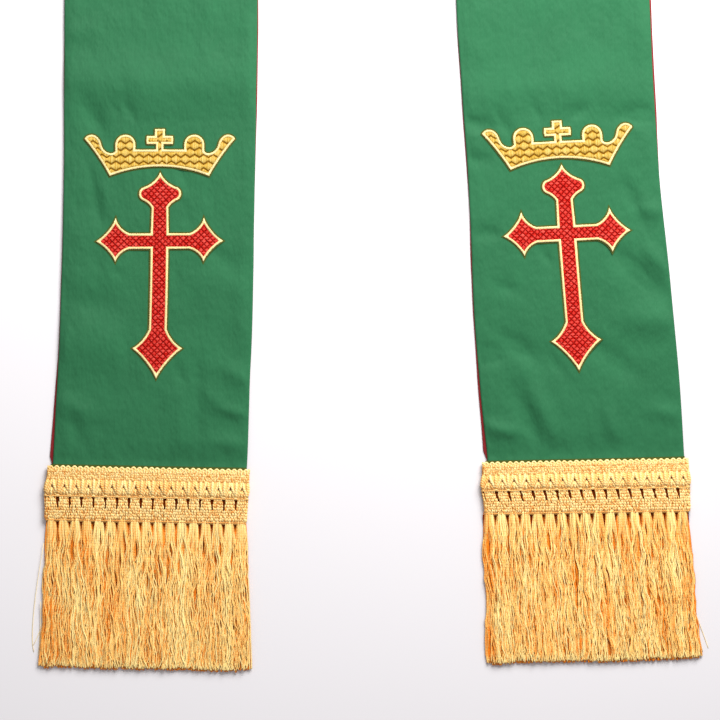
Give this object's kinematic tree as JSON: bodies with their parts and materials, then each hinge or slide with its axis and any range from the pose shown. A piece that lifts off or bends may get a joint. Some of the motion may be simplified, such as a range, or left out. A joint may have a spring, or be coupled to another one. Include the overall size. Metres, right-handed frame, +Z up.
{
  "type": "clerical stole",
  "caption": "Long lined stole laid flat: green fronts joined behind the neck, each with a stitched crown over a cross and a gold fringed hem.",
  "frame": {"origin": "middle of the whole stole's box, on the surface it lies on", "axes": "+X to the wearer's left front, which lies on the right; +Y from the fringes to the neck; +Z up from the surface"},
  "size_m": [0.4054, 1.3466, 0.0049],
  "materials": {
    "face_cloth": "green satin weave with a soft sheen",
    "lining": "dull red lining cloth",
    "red_thread": "red stitched filling in a lattice, with a cream satin-stitch border",
    "gold_thread": "gold stitched filling with brown zigzags and a cream satin-stitch border",
    "gold_braid": "glossy gold rayon braid",
    "gold_fringe": "glossy gold rayon yarn"
  },
  "bodies": {
    "root": {"lining_left": "lining", "lining_right": "lining", "face_left": "face_cloth", "face_right": "face_cloth", "cross_left": "red_thread", "cross_right": "red_thread", "crown_left": "gold_thread", "crown_right": "gold_thread", "braid_left": "gold_braid", "braid_right": "gold_braid", "fringe_left": "gold_fringe", "fringe_right": "gold_fringe"}
  },
  "joints": []
}
